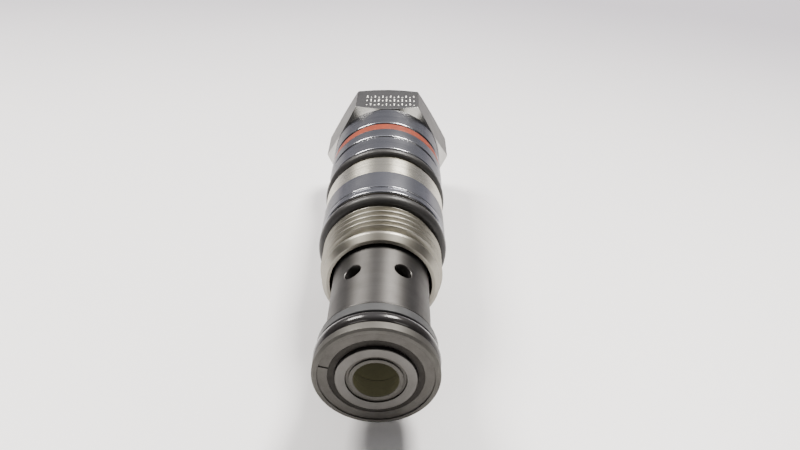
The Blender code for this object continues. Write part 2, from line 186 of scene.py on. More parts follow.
def rounded(outline, steps=FILLET_STEPS):
    """Turns a closed loop of (station, radius, fillet) into straight and curved stretches, each one
    (start, end, normal at start, normal at end), all as (station, radius) pairs."""
    points = [Vector(point[:2]) for point in outline]
    area = sum(a.x * b.y - b.x * a.y for a, b in zip(points, points[1:] + points[:1]))
    side = 1 if area > 0 else -1

    def outward(a, b):
        along = (b - a).normalized()
        return Vector((along.y, -along.x)) * side

    corners = []
    for index, (point, spec) in enumerate(zip(points, outline)):
        before, after = points[index - 1], points[(index + 1) % len(points)]
        fillet = spec[2] if len(spec) > 2 else 0
        back, ahead = before - point, after - point
        bend = back.angle(ahead)
        if fillet <= 0 or bend > NEARLY_STRAIGHT or point.y == 0:
            corners.append([(point, outward(before, point), outward(point, after))])
            continue
        cut = min(fillet / math.tan(bend / 2), FILLET_SHARE * back.length, FILLET_SHARE * ahead.length)
        start = point + back.normalized() * cut
        end = point + ahead.normalized() * cut
        first, last = outward(before, point), outward(point, after)
        radius = cut * math.tan(bend / 2)
        bulge = radius if first.dot(ahead) < 0 else -radius
        centre = start - first * bulge
        arc = [(start, first, first)]
        for step in range(1, steps):
            normal = first.slerp(last, step / steps)
            arc.append((centre + normal * bulge, normal, normal))
        arc.append((end, last, last))
        corners.append(arc)
    stretches = []
    for index, arc in enumerate(corners):
        for a, b in zip(arc, arc[1:]):
            stretches.append((a[0], b[0], a[2], b[1]))
        after = corners[(index + 1) % len(corners)]
        stretches.append((arc[-1][0], after[0][0], arc[-1][2], after[0][1]))
    return [stretch for stretch in stretches if (stretch[0] - stretch[1]).length > SHORTEST_STRETCH]


def add_revolved(shell, stretches, angles):
    """Turns the stretches round the valve's axis."""
    ahead = angles[1:] + [angles[0] + TURN]
    for start, end, first, last in stretches:
        if start.y < ON_AXIS and end.y < ON_AXIS:
            continue
        for a, b in zip(angles, ahead):
            shell.face([
                (around(a, start.y, start.x), facing(a, *first)),
                (around(b, start.y, start.x), facing(b, *first)),
                (around(b, end.y, end.x), facing(b, *last)),
                (around(a, end.y, end.x), facing(a, *last)),
            ])


def even_angles(first=0.0, count=SEGMENTS):
    """Angles once round the valve."""
    return [first + TURN * step / count for step in range(count)]


def outside(stretches, start, end, radius):
    """The stretches without those that lie between start and end near that radius."""

    def inside(stretch):
        middle = (stretch[0] + stretch[1]) / 2
        return start < middle.x < end and abs(middle.y - radius) < SAME_RADIUS

    return [stretch for stretch in stretches if not inside(stretch)]


def turned(name, outline, material):
    """A solid of revolution from a closed loop of (station, radius, fillet)."""
    shell = Shell()
    add_revolved(shell, rounded(outline), even_angles())
    return shell.build(name, [material])


def oval_ring(name, centre, half_length, half_depth, material, count=28):
    """An O-ring whose section is an oval about centre."""

    def section(step):
        turn = TURN * step / count
        place = Vector((centre[0] + half_length * math.cos(turn), centre[1] + half_depth * math.sin(turn)))
        return place, Vector((math.cos(turn) / half_length, math.sin(turn) / half_depth)).normalized()

    stretches = []
    for step in range(count):
        (start, first), (end, last) = section(step), section(step + 1)
        stretches.append((start, end, first, last))
    shell = Shell()
    add_revolved(shell, stretches, even_angles())
    return shell.build(name, [material])


def o_ring_like(name, node, material):
    """An O-ring that fills its CAD node's width and runs from its bore to its outside."""
    start, end = span(node)
    inner, outer = bore(node), reach(node)
    centre = ((start + end) / 2, (inner + outer) / 2)
    return oval_ring(name, centre, (end - start) / 2, (outer - inner) / 2, material)


def add_swept(shell, frames, section):
    """Adds a bar to a shell. frames are (centre, outward, along) in millimetres from the nose edge on
    the axis, section is a list of (outward, along, normal outward, normal along)."""
    rows = []
    for centre, out, up in frames:
        row = []
        for across, along, normal_out, normal_up in section:
            place = centre + out * across + up * along
            normal = out * normal_out + up * normal_up
            row.append(((place.x * MM, (place.y + NOSE_Y) * MM, place.z * MM), tuple(normal)))
        rows.append(row)
    for row, after in zip(rows, rows[1:]):
        for side in range(0, len(section), 2):
            shell.face([row[side], row[side + 1], after[side + 1], after[side]])
    for row, other in ((rows[0], rows[1]), (rows[-1], rows[-2])):
        outward = (Vector(row[0][0]) - Vector(other[0][0])).normalized()
        corners = [row[side][0] for side in range(0, len(section), 2)]
        shell.face([(corner, tuple(outward)) for corner in corners])


def strip_section(points):
    """A section with flat sides, for add_swept, from its corners in (outward, along)."""
    section = []
    middle = sum((Vector(point) for point in points), Vector((0, 0))) / len(points)
    for a, b in zip(points, points[1:] + points[:1]):
        start, end = Vector(a), Vector(b)
        normal = Vector((end.y - start.y, start.x - end.x)).normalized()
        if normal.dot(start - middle) < 0:
            normal.negate()
        section.append((*start, *normal))
        section.append((*end, *normal))
    return section


def round_section(radius, sides):
    """A round section for add_swept."""
    section = []
    for side in range(sides):
        for step in (side, side + 1):
            turn = TURN * step / sides
            out, along = math.cos(turn), math.sin(turn)
            section.append((radius * out, radius * along, out, along))
    return section


# ---------------------------------------------------------------- materials


def fresh_material(name):
    """A new material, its node tree and its shader."""
    material = bpy.data.materials.new(name)
    material.use_nodes = True
    return material, material.node_tree, material.node_tree.nodes["Principled BSDF"]


def math_node(tree, operation, first, second=None):
    """The result of an arithmetic operation on one or two numbers or sockets."""
    node = tree.nodes.new("ShaderNodeMath")
    node.operation = operation
    for socket, value in zip(node.inputs, (first, second)):
        if isinstance(value, (int, float)):
            socket.default_value = value
        elif value is not None:
            tree.links.new(value, socket)
    return node.outputs[0]


def noise(tree, place, size, detail=2.0, roughness=0.5):
    """Noise from 0 to 1 whose grains are about size millimetres."""
    node = tree.nodes.new("ShaderNodeTexNoise")
    node.inputs["Scale"].default_value = 1 / (size * MM)
    node.inputs["Detail"].default_value = detail
    node.inputs["Roughness"].default_value = roughness
    tree.links.new(place, node.inputs["Vector"])
    return node.outputs["Fac"]


NOISE_LOW = 0.3
NOISE_HIGH = 0.7


def spread(tree, value, low, high):
    """Maps the range where most of a noise lies to low to high."""
    node = tree.nodes.new("ShaderNodeMapRange")
    node.inputs["From Min"].default_value = NOISE_LOW
    node.inputs["From Max"].default_value = NOISE_HIGH
    node.inputs["To Min"].default_value = low
    node.inputs["To Max"].default_value = high
    tree.links.new(value, node.inputs["Value"])
    return node.outputs["Result"]


def blend_colours(tree, factor, first, second):
    """Goes from the first colour to the second as factor goes from 0 to 1."""
    node = tree.nodes.new("ShaderNodeMix")
    node.data_type = "RGBA"
    node.inputs["A"].default_value = (*first, 1)
    node.inputs["B"].default_value = (*second, 1)
    tree.links.new(factor, node.inputs["Factor"])
    return node.outputs["Result"]


def bump(tree, shader, height, depth):
    """Adds relief of that depth in millimetres."""
    node = tree.nodes.new("ShaderNodeBump")
    node.inputs["Distance"].default_value = depth * MM
    tree.links.new(height, node.inputs["Height"])
    tree.links.new(node.outputs["Normal"], shader.inputs["Normal"])


def object_place(tree):
    """A point's place in its own object."""
    return tree.nodes.new("ShaderNodeTexCoord").outputs["Object"]


def lathe_place(tree, place):
    """A place that changes along the valve and away from its axis, but not round it."""
    parts = tree.nodes.new("ShaderNodeSeparateXYZ")
    tree.links.new(place, parts.inputs[0])
    across = math_node(tree, "MULTIPLY", parts.outputs["X"], parts.outputs["X"])
    up = math_node(tree, "MULTIPLY", parts.outputs["Z"], parts.outputs["Z"])
    radius = math_node(tree, "SQRT", math_node(tree, "ADD", across, up))
    joined = tree.nodes.new("ShaderNodeCombineXYZ")
    tree.links.new(parts.outputs["Y"], joined.inputs["X"])
    tree.links.new(radius, joined.inputs["Y"])
    return joined.outputs[0]


def round_tangent(tree, place):
    """The direction that goes round the valve."""
    node = tree.nodes.new("ShaderNodeVectorMath")
    node.operation = "CROSS_PRODUCT"
    node.inputs[0].default_value = (0, 1, 0)
    tree.links.new(place, node.inputs[1])
    return node.outputs[0]


STAIN_SIZE = 4.0
STAIN_SHARE = 0.6
BROAD_LINES = 9
BROAD_RELIEF = 1.5
QUARTER_TURN = 0.25
GRAIN_SIZE = 0.25
GRAIN_DEPTH = 0.004
GRAIN_STAIN_SIZE = 3.0
PORE_SIZE = 0.18
PORE_DEPTH = 0.006
FILM_SIZE = 2.5
RUBBER_SHEEN = 0.35
OIL_ROUGHNESS = 0.05
PAINTED_GLOW_COLOUR = (1.0, 0.93, 0.55, 1)


def turned_metal(name, light, dark, roughness, spread_by, anisotropy, line_size, line_depth, edge=0.6):
    """Metal with fine marks that run round the valve, so highlights stretch along it. edge dims what it
    reflects where it is seen edge-on, as a dull plated surface does."""
    material, tree, shader = fresh_material(name)
    place = object_place(tree)
    rings = lathe_place(tree, place)
    fine = noise(tree, rings, line_size, detail=3)
    broad = noise(tree, rings, BROAD_LINES * line_size, detail=2)
    stains = noise(tree, place, STAIN_SIZE, detail=4, roughness=0.6)
    stained = math_node(tree, "MULTIPLY", stains, STAIN_SHARE)
    tone = math_node(tree, "ADD", stained, math_node(tree, "MULTIPLY", broad, 1 - STAIN_SHARE))
    tree.links.new(blend_colours(tree, spread(tree, tone, 0, 1), light, dark), shader.inputs["Base Color"])
    lined = math_node(tree, "MULTIPLY", fine, 0.5)
    worn = math_node(tree, "ADD", lined, math_node(tree, "MULTIPLY", stains, 0.5))
    gloss = spread(tree, worn, roughness - spread_by, roughness + spread_by)
    tree.links.new(gloss, shader.inputs["Roughness"])
    shader.inputs["Metallic"].default_value = 1
    shader.inputs["Specular Tint"].default_value = (edge, edge, edge, 1)
    shader.inputs["Anisotropic"].default_value = anisotropy
    shader.inputs["Anisotropic Rotation"].default_value = QUARTER_TURN
    tree.links.new(round_tangent(tree, place), shader.inputs["Tangent"])
    relief = math_node(tree, "ADD", fine, math_node(tree, "MULTIPLY", broad, BROAD_RELIEF))
    bump(tree, shader, relief, line_depth)
    return material


def plain_metal(name, light, dark, roughness):
    """Metal with a fine, even grain in no direction."""
    material, tree, shader = fresh_material(name)
    place = object_place(tree)
    grain = noise(tree, place, GRAIN_SIZE, detail=3)
    stains = noise(tree, place, GRAIN_STAIN_SIZE, detail=4, roughness=0.6)
    tree.links.new(blend_colours(tree, spread(tree, stains, 0, 1), light, dark), shader.inputs["Base Color"])
    tree.links.new(spread(tree, grain, roughness - 0.05, roughness + 0.07), shader.inputs["Roughness"])
    shader.inputs["Metallic"].default_value = 1
    bump(tree, shader, grain, GRAIN_DEPTH)
    return material


def moulded(name, light, dark, roughness, oil, glow=0.0):
    """Rubber or plastic, or a wall under oil: faint pores, patchy gloss, a film of oil, and where glow is
    given a painted glow.
    """
    material, tree, shader = fresh_material(name)
    place = object_place(tree)
    pores = noise(tree, place, PORE_SIZE, detail=3)
    film = noise(tree, place, FILM_SIZE, detail=3)
    tree.links.new(blend_colours(tree, spread(tree, film, 0, 1), light, dark), shader.inputs["Base Color"])
    tree.links.new(spread(tree, film, roughness - 0.05, roughness + 0.08), shader.inputs["Roughness"])
    shader.inputs["Specular IOR Level"].default_value = RUBBER_SHEEN
    shader.inputs["Coat Weight"].default_value = oil
    shader.inputs["Coat Roughness"].default_value = OIL_ROUGHNESS
    # glow paints light on the surface: it gives off a little light though it is no lamp.
    if glow:
        shader.inputs["Emission Color"].default_value = PAINTED_GLOW_COLOUR
        shader.inputs["Emission Strength"].default_value = glow
    bump(tree, shader, pores, PORE_DEPTH)
    return material


plate_smooth = turned_metal(
    "plate_smooth", light=(0.40, 0.405, 0.43), dark=(0.33, 0.335, 0.36), roughness=0.22, spread_by=0.05,
    anisotropy=0.35, line_size=0.25, line_depth=0.0015, edge=0.30)
plate_turned = turned_metal(
    "plate_turned", light=(0.69, 0.66, 0.55), dark=(0.52, 0.495, 0.415), roughness=0.27, spread_by=0.06,
    anisotropy=0.80, line_size=0.16, line_depth=0.006, edge=0.8)
plate_milled = turned_metal(
    "plate_milled", light=(0.45, 0.445, 0.43), dark=(0.37, 0.365, 0.35), roughness=0.23, spread_by=0.04,
    anisotropy=0.30, line_size=0.30, line_depth=0.0015, edge=0.30)
plate_cut = turned_metal(
    "plate_cut", light=(0.35, 0.335, 0.29), dark=(0.27, 0.255, 0.22), roughness=0.42, spread_by=0.06,
    anisotropy=0.60, line_size=0.16, line_depth=0.006)
steel_ground = turned_metal(
    "steel_ground", light=(0.096, 0.093, 0.090), dark=(0.072, 0.069, 0.066), roughness=0.46, spread_by=0.05,
    anisotropy=0.50, line_size=0.14, line_depth=0.005, edge=0.75)
steel_faced = turned_metal(
    "steel_faced", light=(0.112, 0.108, 0.100), dark=(0.081, 0.078, 0.072), roughness=0.56, spread_by=0.05,
    anisotropy=0.20, line_size=0.18, line_depth=0.004)
steel_honed = turned_metal(
    "steel_honed", light=(0.125, 0.121, 0.115), dark=(0.095, 0.092, 0.087), roughness=0.42, spread_by=0.05,
    anisotropy=0.30, line_size=0.18, line_depth=0.003)
steel_dark = turned_metal(
    "steel_dark", light=(0.090, 0.087, 0.080), dark=(0.066, 0.063, 0.058), roughness=0.50, spread_by=0.05,
    anisotropy=0.20, line_size=0.18, line_depth=0.003)
# A very dark steel that paints the shade in the recess inside the nose ring.
steel_painted_shade = plain_metal("steel_painted_shade", (0.036, 0.034, 0.031), (0.026, 0.024, 0.022), 0.55)
steel_ring = plain_metal("steel_ring", (0.090, 0.086, 0.080), (0.066, 0.063, 0.058), 0.46)
steel_spring = plain_metal("steel_spring", (0.27, 0.26, 0.24), (0.19, 0.18, 0.165), 0.40)
# The stamped marks are real; their light colour is painted highlight, the light that catches their raised
# burrs.
plate_marked_highlight = plain_metal("plate_marked_highlight", (0.85, 0.84, 0.80), (0.70, 0.69, 0.66), 0.50)
rubber_black = moulded("rubber_black", (0.022, 0.021, 0.020), (0.015, 0.014, 0.014), 0.42, 0.05)
rubber_oiled = moulded("rubber_oiled", (0.024, 0.022, 0.022), (0.016, 0.015, 0.015), 0.16, 0.10)
ptfe_black = moulded("ptfe_black", (0.040, 0.041, 0.043), (0.028, 0.029, 0.030), 0.50, 0.05)
rubber_orange = moulded("rubber_orange", (0.23, 0.027, 0.001), (0.165, 0.018, 0.001), 0.55, 0.0)
# The bore's walls carry a faint painted glow, though they are no lamp, so the bore is not quite black.
bore_painted_glow = moulded("bore_painted_glow", (0.06, 0.057, 0.03), (0.04, 0.038, 0.02), 0.50, 0.1, glow=0.034)

# ---------------------------------------------------------------- drilled bands

PORT_STATION = 19.4
PORT_ANGLES = [math.radians(28) + TURN * port / 6 for port in range(6)]
BAND_STEPS = 12
PATCH_ROWS = 5
RIM_LEAN = 0.7


def hole_point(centre, hole_r, radius, turn):
    """A point of a straight drilling's edge where it meets the cylinder of that radius."""
    across = hole_r * math.cos(turn)
    return centre + math.asin(across / radius), radius, PORT_STATION + hole_r * math.sin(turn)


def patch_border(radius, band):
    """Once round the rectangle of one port's share of the cylinder, as (arc length, station offset)."""
    half = SEGMENTS // 12
    step = TURN / SEGMENTS * radius
    low, high = band[0] - PORT_STATION, band[1] - PORT_STATION
    rise = (high - low) / BAND_STEPS
    border = [(half * step, low + rise * i) for i in range(BAND_STEPS)]
    border += [((half - i) * step, high) for i in range(2 * half)]
    border += [(-half * step, high - rise * i) for i in range(BAND_STEPS)]
    border += [((i - half) * step, low) for i in range(2 * half)]
    return border


def add_drilled_band(shell, radius, band, hole_r, side):
    """A cylinder between two stations with six round holes. side is 1 outside and -1 in a bore."""
    border = patch_border(radius, band)
    for centre in PORT_ANGLES:
        rows = []
        for row in range(PATCH_ROWS + 1):
            share = row / PATCH_ROWS
            points = []
            for arc, rise in border:
                angle, _, station = hole_point(centre, hole_r, radius, math.atan2(rise, arc))
                angle += (centre + arc / radius - angle) * share
                station += (PORT_STATION + rise - station) * share
                points.append((around(angle, radius, station), facing(angle, 0, side)))
            rows.append(points)
        for row, after in zip(rows, rows[1:]):
            for i in range(len(border)):
                ahead = (i + 1) % len(border)
                shell.face([row[i], row[ahead], after[ahead], after[i]])


def add_hole_walls(shell, outer, inner, hole_r, rim, band):
    """The sides of the six holes between two cylinders, with a broken outer edge."""
    turns = [math.atan2(rise, arc) for arc, rise in patch_border(outer, band)]
    for centre in PORT_ANGLES:
        loops = []
        for radius, size, lean in ((outer, hole_r + rim, RIM_LEAN), (outer - rim, hole_r, RIM_LEAN),
                                   (outer - rim, hole_r, 0), (inner, hole_r, 0)):
            loop = []
            for turn in turns:
                angle, _, station = hole_point(centre, size, radius, turn)
                across, along = -math.cos(turn), -math.sin(turn)
                sideways = Vector(facing(centre + math.pi / 2, 0, across))
                normal = Vector(facing(centre, along, lean)) + sideways
                loop.append((around(angle, radius, station), tuple(normal.normalized())))
            loops.append(loop)
        for loop, after in (loops[0:2], loops[2:4]):
            for i in range(len(turns)):
                ahead = (i + 1) % len(turns)
                shell.face([loop[i], loop[ahead], after[ahead], after[i]])


# ---------------------------------------------------------------- hexagon cap

CAP_START, CAP_END = span("hex_cap")
HEX_START = 83.1
HEX_FLAT_R = reach("hex_cap")
HEX_CORNER_R = 16.42
HEX_ENVELOPE_R = 16.9
FRONT_CONE = 1.9
REAR_CONE = 1.7
END_FACE_R = 13.95
COLLAR_R = 14.1
COLLAR_START = 60.5
COLLAR_LINE = 66.8
BAND_GROOVE = (71.2, 74.7)
BAND_SEAT_R = 12.4
CAP_GLAND_START = 57.8
CAP_GLAND_R = 11.75
SPIGOT_R = 11.0
SPIGOT_GLAND = (48.6, 50.8)
SPIGOT_GLAND_R = 9.5
SPRING_BORE_R = 6.7
SPRING_BORE_CONE = (87.6, 89.1)
CENTRE_MARK_R = 1.6
CENTRE_MARK_DEPTH = 1.2
HEX_EDGE = 0.07
SIXTH = math.pi / 3


def from_flat(angle):
    """How far an angle lies from the middle of its flat."""
    return (angle + SIXTH / 2) % SIXTH - SIXTH / 2


def flat_facing(angle, middle):
    """The normal at an angle of the flat that holds the angle middle, rounding off at its corners."""
    corner_land = math.acos(HEX_FLAT_R / HEX_CORNER_R)
    at_corner = abs(abs(from_flat(angle)) - SIXTH / 2) < 1e-6
    if at_corner and abs(from_flat(middle)) > corner_land:
        return facing(angle, 0, 1)
    return facing(middle - from_flat(middle), 0, 1)


def add_hexagon(shell, angles):
    """The six flats with their corners cut round, and the cones at both ends."""
    front_slope = (HEX_ENVELOPE_R - COLLAR_R) / FRONT_CONE
    rear_slope = (HEX_ENVELOPE_R - END_FACE_R) / REAR_CONE
    front_normal = Vector((-front_slope, 1)).normalized()
    rear_normal = Vector((rear_slope, 1)).normalized()

    def rows_at(angle, middle):
        radius = min(HEX_FLAT_R / math.cos(from_flat(angle)), HEX_CORNER_R)
        front = HEX_START + (radius - COLLAR_R) / front_slope
        rear = CAP_END - (radius - END_FACE_R) / rear_slope
        flat = flat_facing(angle, middle)
        cone = facing(angle, *front_normal)
        back = facing(angle, *rear_normal)
        return [
            (around(angle, COLLAR_R, HEX_START), cone),
            (around(angle, radius - HEX_EDGE, front - HEX_EDGE / front_slope), cone),
            (around(angle, radius, front + HEX_EDGE), flat),
            (around(angle, radius, rear - HEX_EDGE), flat),
            (around(angle, radius - HEX_EDGE, rear + HEX_EDGE / rear_slope), back),
            (around(angle, END_FACE_R, CAP_END), back),
        ]

    for a, b in zip(angles, angles[1:] + [angles[0] + TURN]):
        middle = (a + b) / 2
        left, right = rows_at(a, middle), rows_at(b, middle)
        for i in range(len(left) - 1):
            shell.face([left[i], right[i], right[i + 1], left[i + 1]])


def make_hex_cap():
    """The cap: spigot, collar with its groove, and hexagon."""
    outline = [
        (CAP_START, SPRING_BORE_R, 0.2),
        (CAP_START, SPIGOT_R - 0.4, 0.1),
        (CAP_START + 0.4, SPIGOT_R, 0.1),
        (SPIGOT_GLAND[0], SPIGOT_R, 0.1),
        (SPIGOT_GLAND[0], SPIGOT_GLAND_R, 0.1),
        (SPIGOT_GLAND[1], SPIGOT_GLAND_R, 0.1),
        (SPIGOT_GLAND[1], SPIGOT_R, 0.1),
        (CAP_GLAND_START, SPIGOT_R),
        (CAP_GLAND_START, CAP_GLAND_R, 0.1),
        (COLLAR_START, CAP_GLAND_R),
        (COLLAR_START, COLLAR_R - 0.5, 0.05),
        (COLLAR_START + 0.35, COLLAR_R - 0.15, 0.3),
        (COLLAR_LINE - 0.3, COLLAR_R - 0.15, 0.4),
        (COLLAR_LINE, COLLAR_R - 0.35, 0.1),
        (COLLAR_LINE + 0.3, COLLAR_R, 0.4),
        (BAND_GROOVE[0] - 0.2, COLLAR_R, 0.25),
        (BAND_GROOVE[0], COLLAR_R - 0.2, 0.1),
        (BAND_GROOVE[0], BAND_SEAT_R),
        (BAND_GROOVE[1], BAND_SEAT_R),
        (BAND_GROOVE[1], COLLAR_R - 0.3, 0.1),
        (BAND_GROOVE[1] + 0.3, COLLAR_R, 0.4),
        (HEX_START, COLLAR_R),
        (CAP_END, END_FACE_R),
        (CAP_END, CENTRE_MARK_R, 0.2),
        (CAP_END - CENTRE_MARK_DEPTH, 0),
        (SPRING_BORE_CONE[1], 0),
        (SPRING_BORE_CONE[0], SPRING_BORE_R),
    ]
    land = math.acos(HEX_FLAT_R / HEX_CORNER_R)
    corner_angles = [SIXTH * flat + side * land for flat in range(6) for side in (-1, 1)]
    angles = sorted(even_angles() + [angle % TURN for angle in corner_angles])
    shell = Shell()
    add_revolved(shell, outside(rounded(outline), HEX_START, CAP_END, (COLLAR_R + END_FACE_R) / 2), angles)
    add_hexagon(shell, angles)
    return shell.build("hexagon_cap", [plate_smooth, plate_milled],
                       lambda station, radius: int(station > HEX_START + FACE_MARGIN))


# Rows of peened dots stand for the stamped marks. Each group of a row is a short bar of dots.
MARK_ROWS = (86.4, 89.1, 91.8)
MARK_GROUPS = 13
MARK_WIDTH = 12.6
MARK_MIDDLE = 0.8
DOT_R = 0.20
DOT_HEIGHT = 0.05
DOT_PITCH = 0.45
DOT_SIDES = 8


def make_marks():
    """Peened dots on the upper flat, in groups that follow a simple rule and spell nothing."""
    shell = Shell()
    for row, station in enumerate(MARK_ROWS):
        for group in range(MARK_GROUPS):
            x = MARK_MIDDLE + MARK_WIDTH * (group / (MARK_GROUPS - 1) - 0.5)
            for dot in range(1 + (group * 2 + row) % 4):
                y = station + (dot - 1.5) * DOT_PITCH
                ring = []
                for i in range(DOT_SIDES):
                    turn = TURN * i / DOT_SIDES
                    right, ahead = math.cos(turn), math.sin(turn)
                    place = Vector((x + DOT_R * right, y + NOSE_Y + DOT_R * ahead, HEX_FLAT_R))
                    ring.append((tuple(place * MM), (0.6 * right, 0.6 * ahead, 0.8)))
                top = (tuple(Vector((x, y + NOSE_Y, HEX_FLAT_R + DOT_HEIGHT)) * MM), (0, 0, 1))
                for i in range(DOT_SIDES):
                    shell.face([ring[i], ring[(i + 1) % DOT_SIDES], top])
    # The dots' light colour is painted highlight.
    return shell.build("peened_marks", [plate_marked_highlight])


# ---------------------------------------------------------------- threaded body

BODY_START, BODY_END = span("threaded_body")
FLANGE_R = reach("threaded_body")
SHOULDER_R = 12.1
SHOULDER_END = 27.8
SHOULDER_BORE_R = 10.32
SHOULDER_BORE_CONE = (28.1, 28.3)
THREAD_PITCH = 25.4 / 14
THREAD_CREST_R = 12.65
THREAD_DEPTH = 1.11
THREAD_SPAN = (28.75, 36.4)
THREAD_RUN_IN = 0.25
THREAD_RUN_OUT = 0.2
THREAD_ROWS = 124
THREAD_CREST_SHARE = 0.2
THREAD_FLANK_SHARE = 0.65
THREAD_SLOPE_STEP = 0.02
UNDERCUT_R = THREAD_CREST_R - THREAD_DEPTH
BODY_GLAND_END = 40.3
BODY_GLAND_R = 11.1
FLANGE_LINE = (41.95, 42.65)
FLANGE_STEP = 49.2
BODY_BORE_R = 10.3
BODY_REAR_BORE_R = 11.3
BODY_REAR_BORE_START = 41.5


def thread_radius(angle, station):
    """The thread's surface, which fades out into the undercuts at both ends."""
    phase = (station / THREAD_PITCH - angle / TURN) % 1.0
    form = min(max((abs(2 * phase - 1) - THREAD_CREST_SHARE) / THREAD_FLANK_SHARE, 0.0), 1.0)
    fade = min((station - THREAD_SPAN[0]) / THREAD_RUN_IN, (THREAD_SPAN[1] - station) / THREAD_RUN_OUT)
    return UNDERCUT_R + THREAD_DEPTH * form * min(max(fade, 0.0), 1.0)


def add_thread(shell, angles):
    """The external thread as a fine grid, with normals from its slopes."""
    step = THREAD_SLOPE_STEP

    def corner(angle, station):
        radius = thread_radius(angle, station)
        slope = (thread_radius(angle, station + step) - thread_radius(angle, station - step)) / (2 * step)
        normal = Vector((-slope, 1)).normalized()
        return around(angle, radius, station), facing(angle, *normal)

    first, last = THREAD_SPAN
    stations = [first + (last - first) * row / THREAD_ROWS for row in range(THREAD_ROWS + 1)]
    grid = [[corner(angle, station) for angle in angles] for station in stations]
    for row, after in zip(grid, grid[1:]):
        for i in range(len(angles)):
            ahead = (i + 1) % len(angles)
            shell.face([row[i], row[ahead], after[ahead], after[i]])


def make_body():
    """The body from its locating shoulder to its flange."""
    outline = [
        (BODY_START, SHOULDER_BORE_R, 0.12),
        (BODY_START, SHOULDER_R - 1.0, 0.3),
        (BODY_START + 1.3, SHOULDER_R, 1.2),
        (SHOULDER_END, SHOULDER_R, 0.2),
        (SHOULDER_END + 0.15, UNDERCUT_R, 0.25),
        (THREAD_SPAN[0], UNDERCUT_R),
        (THREAD_SPAN[1], UNDERCUT_R),
        (THREAD_SPAN[1] + 0.2, BODY_GLAND_R),
        (BODY_GLAND_END, BODY_GLAND_R),
        (BODY_GLAND_END, FLANGE_R - 0.25, 0.05),
        (BODY_GLAND_END + 0.25, FLANGE_R, 0.25),
        (FLANGE_LINE[0], FLANGE_R, 0.2),
        (FLANGE_LINE[0] + 0.15, FLANGE_R - 0.4, 0.08),
        (FLANGE_LINE[1] - 0.15, FLANGE_R - 0.4, 0.08),
        (FLANGE_LINE[1], FLANGE_R, 0.2),
        (FLANGE_STEP, FLANGE_R, 0.1),
        (FLANGE_STEP + 0.15, FLANGE_R - 0.12, 0.1),
        (BODY_END - 1.7, FLANGE_R, 0.8),
        (BODY_END, FLANGE_R - 0.6, 0.1),
        (BODY_END, BODY_REAR_BORE_R),
        (BODY_REAR_BORE_START, BODY_REAR_BORE_R),
        (BODY_REAR_BORE_START, BODY_BORE_R),
        (SHOULDER_BORE_CONE[1], BODY_BORE_R),
        (SHOULDER_BORE_CONE[0], SHOULDER_BORE_R),
    ]
    shell = Shell()
    angles = even_angles()
    add_revolved(shell, outside(rounded(outline), *THREAD_SPAN, UNDERCUT_R), angles)
    add_thread(shell, angles)
    return shell.build("valve_body_threaded", [plate_cut, plate_smooth, plate_turned],
                       lambda station, radius: int(station > BODY_GLAND_END) + int(station > FLANGE_STEP))


# ---------------------------------------------------------------- sleeve and spool

SLEEVE_END = span("sleeve")[1]
NOSE_LAND_R = reach("sleeve")
SLEEVE_R = 9.73
SLEEVE_BORE_R = bore("sleeve")
SLEEVE_BAND = (16.9, 21.9)
SLEEVE_PORT_R = 1.8
PORT_RIM = 0.12
NOSE_GLAND = (1.9, 7.2)
REAR_GLAND = (31.2, 34.6)
GLAND_R = 8.95
SNAP_GROOVE = (42.6, 43.6)
SNAP_GROOVE_R = 9.0
LIP_R = 10.15
LIP_DEPTH = 0.14
RING_GROOVE_END = 1.5
RING_GROOVE_R = 10.6


def make_sleeve():
    """The sleeve with its nose, two seal glands and six ports."""
    outline = [
        (0, LIP_R, 0.06),
        (0, NOSE_LAND_R - 0.4, 0.12),
        (0.35, NOSE_LAND_R, 0.2),
        (NOSE_GLAND[0], NOSE_LAND_R, 0.08),
        (NOSE_GLAND[0], GLAND_R),
        (NOSE_GLAND[1], GLAND_R),
        (NOSE_GLAND[1], 10.7, 0.05),
        (NOSE_GLAND[1] + 0.25, 10.85, 0.15),
        (8.6, SLEEVE_R, 1.2),
        (SLEEVE_BAND[0], SLEEVE_R),
        (SLEEVE_BAND[1], SLEEVE_R),
        (REAR_GLAND[0], SLEEVE_R, 0.1),
        (REAR_GLAND[0], GLAND_R, 0.1),
        (REAR_GLAND[1], GLAND_R, 0.1),
        (REAR_GLAND[1], SLEEVE_R, 0.1),
        (SNAP_GROOVE[0], SLEEVE_R),
        (SNAP_GROOVE[0], SNAP_GROOVE_R),
        (SNAP_GROOVE[1], SNAP_GROOVE_R),
        (SNAP_GROOVE[1], SLEEVE_R),
        (SLEEVE_END - 0.3, SLEEVE_R),
        (SLEEVE_END, SLEEVE_R - 0.3),
        (SLEEVE_END, SLEEVE_BORE_R),
        (SLEEVE_BAND[1], SLEEVE_BORE_R),
        (SLEEVE_BAND[0], SLEEVE_BORE_R),
        (RING_GROOVE_END, SLEEVE_BORE_R),
        (RING_GROOVE_END, RING_GROOVE_R),
        (LIP_DEPTH, RING_GROOVE_R),
        (LIP_DEPTH, LIP_R, 0.04),
    ]
    stretches = rounded(outline)
    for radius in (SLEEVE_R, SLEEVE_BORE_R):
        stretches = outside(stretches, *SLEEVE_BAND, radius)
    shell = Shell()
    add_revolved(shell, stretches, even_angles(PORT_ANGLES[0]))
    add_drilled_band(shell, SLEEVE_R, SLEEVE_BAND, SLEEVE_PORT_R + PORT_RIM, 1)
    add_drilled_band(shell, SLEEVE_BORE_R, SLEEVE_BAND, SLEEVE_PORT_R, -1)
    add_hole_walls(shell, SLEEVE_R, SLEEVE_BORE_R, SLEEVE_PORT_R, PORT_RIM, SLEEVE_BAND)
    return shell.build("ported_sleeve", [steel_ground, steel_faced],
                       lambda station, radius: int(station < NOSE_GLAND[0] + 0.05))


